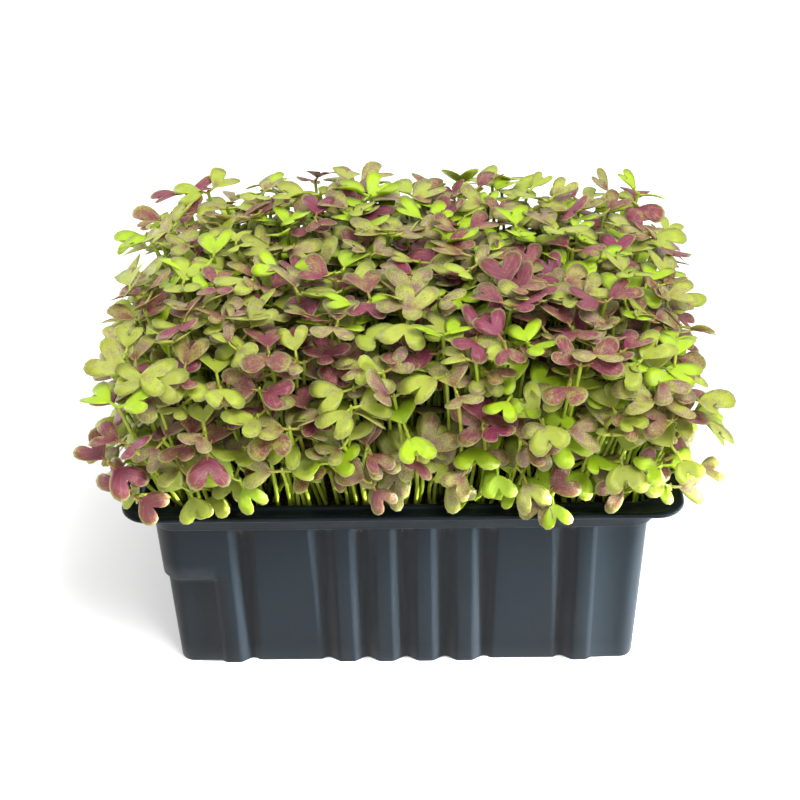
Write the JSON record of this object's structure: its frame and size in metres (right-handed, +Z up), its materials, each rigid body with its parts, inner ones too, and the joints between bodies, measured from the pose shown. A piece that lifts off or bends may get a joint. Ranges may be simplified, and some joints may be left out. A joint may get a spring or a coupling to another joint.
{
  "type": "microgreens tray",
  "caption": "Rectangular fluted plastic punnet filled with growing medium and a dense stand of seedlings with notched seed leaves.",
  "frame": {"origin": "centre of the tray's flat underside, on the surface it stands on", "axes": "+X along the tray's long side, +Y towards the back, +Z up; the corner lug is at the front left"},
  "size_m": [0.1944, 0.1568, 0.1302],
  "materials": {
    "tray_plastic": "satin",
    "growing_medium": "matte",
    "leaf_olive": "satin",
    "leaf_purple": "satin",
    "leaf_lime": "satin"
  },
  "bodies": {
    "root": {"tray": "tray_plastic", "growing_medium": "growing_medium", "seedlings_olive_r1_c1": "leaf_olive", "seedlings_olive_r1_c2": "leaf_olive", "seedlings_olive_r1_c3": "leaf_olive", "seedlings_olive_r1_c4": "leaf_olive", "seedlings_purple_r1_c5": "leaf_purple", "seedlings_lime_r1_c6": "leaf_lime", "seedlings_olive_r2_c1": "leaf_olive", "seedlings_olive_r2_c2": "leaf_olive", "seedlings_purple_r2_c3": "leaf_purple", "seedlings_lime_r2_c4": "leaf_lime", "seedlings_purple_r2_c5": "leaf_purple", "seedlings_olive_r2_c6": "leaf_olive", "seedlings_olive_r3_c1": "leaf_olive", "seedlings_purple_r3_c2": "leaf_purple", "seedlings_lime_r3_c3": "leaf_lime", "seedlings_purple_r3_c4": "leaf_purple", "seedlings_olive_r3_c5": "leaf_olive", "seedlings_olive_r3_c6": "leaf_olive", "seedlings_lime_r4_c1": "leaf_lime", "seedlings_purple_r4_c2": "leaf_purple", "seedlings_olive_r4_c3": "leaf_olive", "seedlings_olive_r4_c4": "leaf_olive", "seedlings_olive_r4_c5": "leaf_olive", "seedlings_olive_r4_c6": "leaf_olive", "seedlings_purple_r5_c1": "leaf_purple", "seedlings_olive_r5_c2": "leaf_olive", "seedlings_olive_r5_c3": "leaf_olive", "seedlings_olive_r5_c4": "leaf_olive", "seedlings_olive_r5_c5": "leaf_olive", "seedlings_purple_r5_c6": "leaf_purple"}
  },
  "joints": []
}
